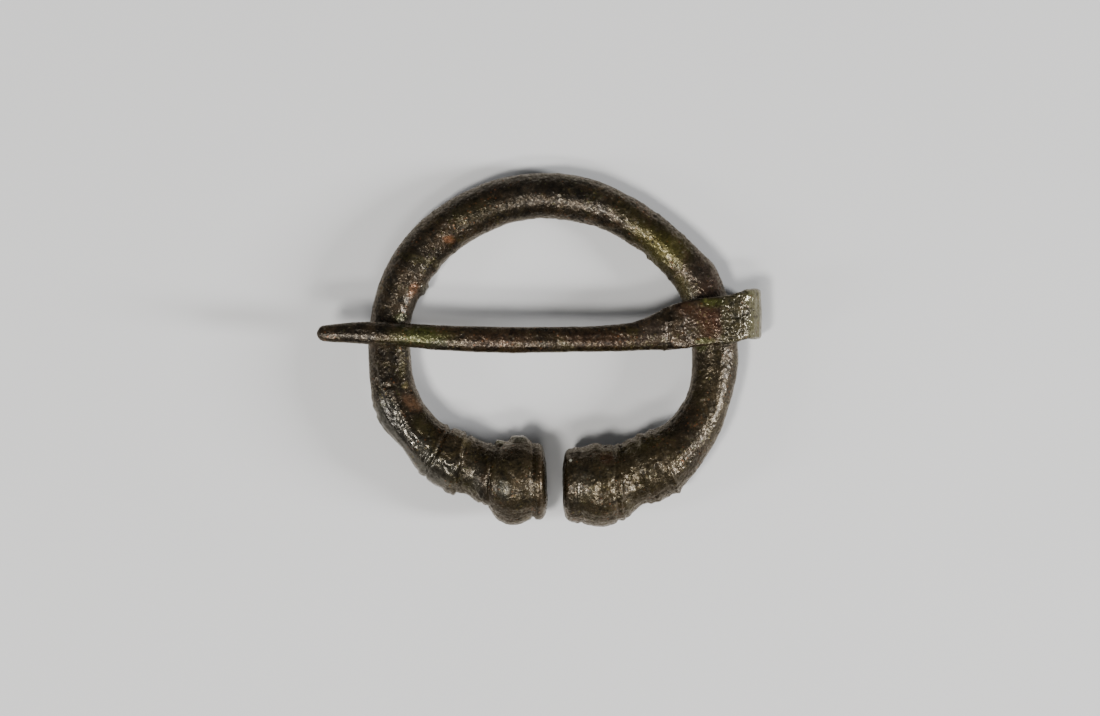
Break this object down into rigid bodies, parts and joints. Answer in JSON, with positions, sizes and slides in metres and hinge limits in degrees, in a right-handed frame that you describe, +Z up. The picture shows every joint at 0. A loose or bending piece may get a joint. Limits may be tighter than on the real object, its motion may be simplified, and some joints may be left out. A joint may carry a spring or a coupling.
{
  "type": "penannular brooch",
  "caption": "Cast bronze open-ring brooch with moulded bulb terminals and a pin looped loosely round the hoop.",
  "frame": {"origin": "middle of the brooch's box, on the ground that it lies on", "axes": "+X along the pin from its tip to its head, +Y from the terminals to the far side of the hoop, +Z up out of the ground"},
  "size_m": [0.0456, 0.0366, 0.0085],
  "materials": {
    "hoop_bronze": "dark pitted bronze patina",
    "pin_bronze": "dark brown bronze patina with green corrosion"
  },
  "bodies": {
    "hoop": {"hoop": "hoop_bronze"},
    "pin": {"pin": "pin_bronze"}
  },
  "joints": [
    {"name": "pin_swing", "type": "hinge", "parent": "hoop", "child": "pin", "pos_m": [0.01783, 0.00279, 0.00313], "axis": [-0.1765, 0.9822, -0.0636], "range_deg": [0, 170]}
  ]
}
